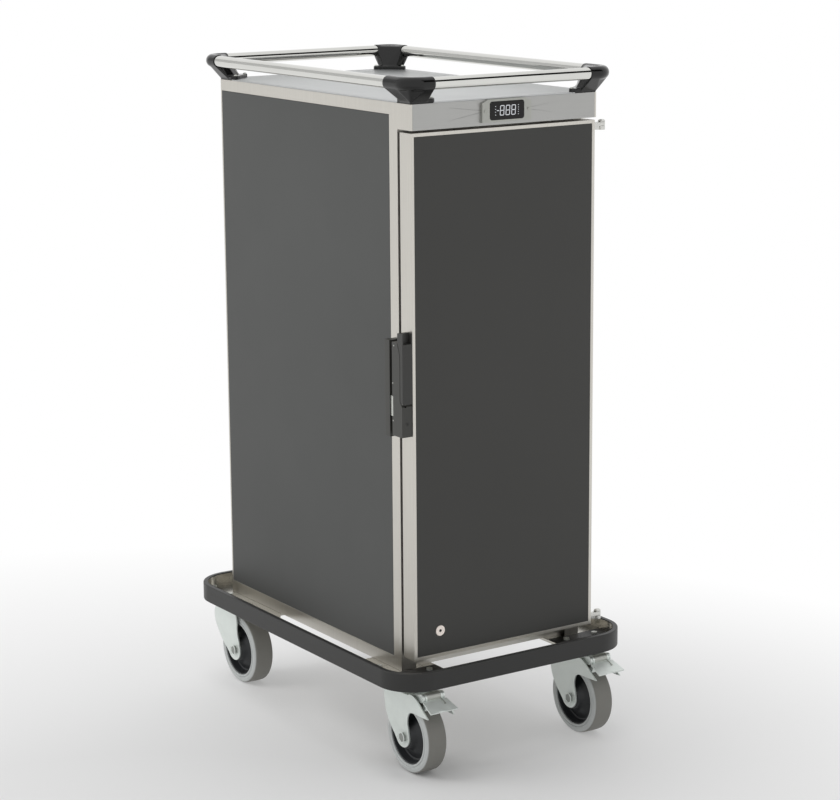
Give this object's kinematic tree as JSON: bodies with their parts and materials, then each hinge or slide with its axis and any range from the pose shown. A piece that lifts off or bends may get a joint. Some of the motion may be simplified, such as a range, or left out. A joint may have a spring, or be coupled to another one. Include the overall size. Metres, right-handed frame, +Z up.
{
  "type": "enclosed meal tray cart",
  "caption": "Insulated meal tray cabinet on swivel castors with one door, a side latch, a display header, a tube gallery and a ring bumper.",
  "frame": {"origin": "on the floor, under the middle of the whole cart's box", "axes": "+Z up, +Y from the door to the back, +X to the right as one faces the door; the hinges are at +X and the latch at -X"},
  "size_m": [0.601, 0.932, 1.4512],
  "materials": {
    "satin_steel": "satin",
    "bright_steel": "polished",
    "inner_steel": "satin",
    "rack_steel": "satin",
    "side_laminate": "matte",
    "door_laminate": "matte",
    "mineral_wool": "matte",
    "bumper_black": "satin",
    "bracket_black": "gloss",
    "latch_black": "satin",
    "gasket_rubber": "matte",
    "zinc": "satin",
    "pin_steel": "gloss",
    "wheel_tyre": "matte",
    "wheel_rim": "matte",
    "display_glass": "gloss",
    "display_light": "gloss",
    "module_black": "satin"
  },
  "bodies": {
    "cabinet": {"base_frame": "satin_steel", "castor_platforms": "bright_steel", "castor_bolts": "pin_steel", "castor_heads": "zinc", "bumper_carrier": "bright_steel", "bumper": "bumper_black", "side_shell_left": "satin_steel", "side_shell_right": "satin_steel", "back_shell": "satin_steel", "laminate_panels": "side_laminate", "top_deck": "satin_steel", "header": "satin_steel", "front_frame": "satin_steel", "insulation_boards": "mineral_wool", "liner_sheets": "inner_steel", "rack_posts": "rack_steel", "tray_runners": "rack_steel", "display_bezel": "zinc", "display_window": "display_glass", "display_digits": "display_light", "thermometer_module": "module_black", "temperature_probe": "pin_steel", "gallery_tubes": "bright_steel", "gallery_corners": "bracket_black", "gallery_screws": "pin_steel", "hinge_brackets": "satin_steel", "hinge_pins": "pin_steel", "latch_keeper": "latch_black", "hold_open_catch": "pin_steel"},
    "door": {"door_skin": "satin_steel", "door_laminate": "door_laminate", "door_insulation": "mineral_wool", "door_liner": "inner_steel", "door_gasket": "gasket_rubber", "door_hinge_arms": "satin_steel", "door_stud": "pin_steel", "latch_housing": "latch_black", "latch_pivot_pin": "pin_steel", "latch_spring": "pin_steel"},
    "lever": {"latch_lever": "latch_black"},
    "tongue": {"latch_tongue": "zinc"},
    "lock": {"lock_cylinder": "pin_steel"},
    "castor_fl": {"castor_fork_fl": "zinc", "castor_axle_fl": "pin_steel"},
    "wheel_fl": {"wheel_rim_fl": "wheel_rim", "wheel_tyre_fl": "wheel_tyre"},
    "castor_fr": {"castor_fork_fr": "zinc", "castor_axle_fr": "pin_steel"},
    "wheel_fr": {"wheel_rim_fr": "wheel_rim", "wheel_tyre_fr": "wheel_tyre"},
    "castor_bl": {"castor_fork_bl": "zinc", "castor_axle_bl": "pin_steel"},
    "wheel_bl": {"wheel_rim_bl": "wheel_rim", "wheel_tyre_bl": "wheel_tyre"},
    "castor_br": {"castor_fork_br": "zinc", "castor_axle_br": "pin_steel"},
    "wheel_br": {"wheel_rim_br": "wheel_rim", "wheel_tyre_br": "wheel_tyre"},
    "brake_fl": {"brake_pedal_fl": "zinc"},
    "brake_fr": {"brake_pedal_fr": "zinc"}
  },
  "joints": [
    {"name": "door_hinge", "type": "hinge", "parent": "cabinet", "child": "door", "pos_m": [0.253, -0.367, 0.26], "axis": [0, 0, 1], "range_deg": [0, 270]},
    {"name": "latch_lever_pivot", "type": "hinge", "parent": "door", "child": "lever", "pos_m": [-0.2435, -0.369, 0.792], "axis": [-1, 0, 0], "range_deg": [-30, 0], "stiffness_Nm_per_rad": 0.4, "springref_deg": 34.38},
    {"name": "latch_tongue_slide", "type": "slide", "parent": "door", "child": "tongue", "axis": [0, -1, 0], "range_m": [0, 0.0118]},
    {"name": "lock_turn", "type": "hinge", "parent": "door", "child": "lock", "pos_m": [-0.2425, -0.365, 0.75], "axis": [0, 1, 0], "range_deg": [0, 90]},
    {"name": "castor_swivel_fl", "type": "hinge", "parent": "cabinet", "child": "castor_fl", "pos_m": [-0.2174, -0.316, 0.173], "axis": [0, 0, 1], "continuous": true},
    {"name": "wheel_spin_fl", "type": "hinge", "parent": "castor_fl", "child": "wheel_fl", "pos_m": [-0.2174, -0.362, 0.08], "axis": [1, 0, 0], "continuous": true},
    {"name": "castor_swivel_fr", "type": "hinge", "parent": "cabinet", "child": "castor_fr", "pos_m": [0.2174, -0.316, 0.173], "axis": [0, 0, 1], "continuous": true},
    {"name": "wheel_spin_fr", "type": "hinge", "parent": "castor_fr", "child": "wheel_fr", "pos_m": [0.2174, -0.362, 0.08], "axis": [1, 0, 0], "continuous": true},
    {"name": "castor_swivel_bl", "type": "hinge", "parent": "cabinet", "child": "castor_bl", "pos_m": [-0.2174, 0.397, 0.173], "axis": [0, 0, 1], "continuous": true},
    {"name": "wheel_spin_bl", "type": "hinge", "parent": "castor_bl", "child": "wheel_bl", "pos_m": [-0.2174, 0.351, 0.08], "axis": [1, 0, 0], "continuous": true},
    {"name": "castor_swivel_br", "type": "hinge", "parent": "cabinet", "child": "castor_br", "pos_m": [0.2174, 0.397, 0.173], "axis": [0, 0, 1], "continuous": true},
    {"name": "wheel_spin_br", "type": "hinge", "parent": "castor_br", "child": "wheel_br", "pos_m": [0.2174, 0.351, 0.08], "axis": [1, 0, 0], "continuous": true},
    {"name": "brake_pedal_fl", "type": "hinge", "parent": "castor_fl", "child": "brake_fl", "pos_m": [-0.2174, -0.419, 0.178], "axis": [1, 0, 0], "range_deg": [0, 15]},
    {"name": "brake_pedal_fr", "type": "hinge", "parent": "castor_fr", "child": "brake_fr", "pos_m": [0.2174, -0.419, 0.178], "axis": [1, 0, 0], "range_deg": [0, 15]}
  ],
  "couplings": [
    {"joint": "latch_tongue_slide", "follows": "latch_lever_pivot", "m_per_rad": -0.0222}
  ]
}
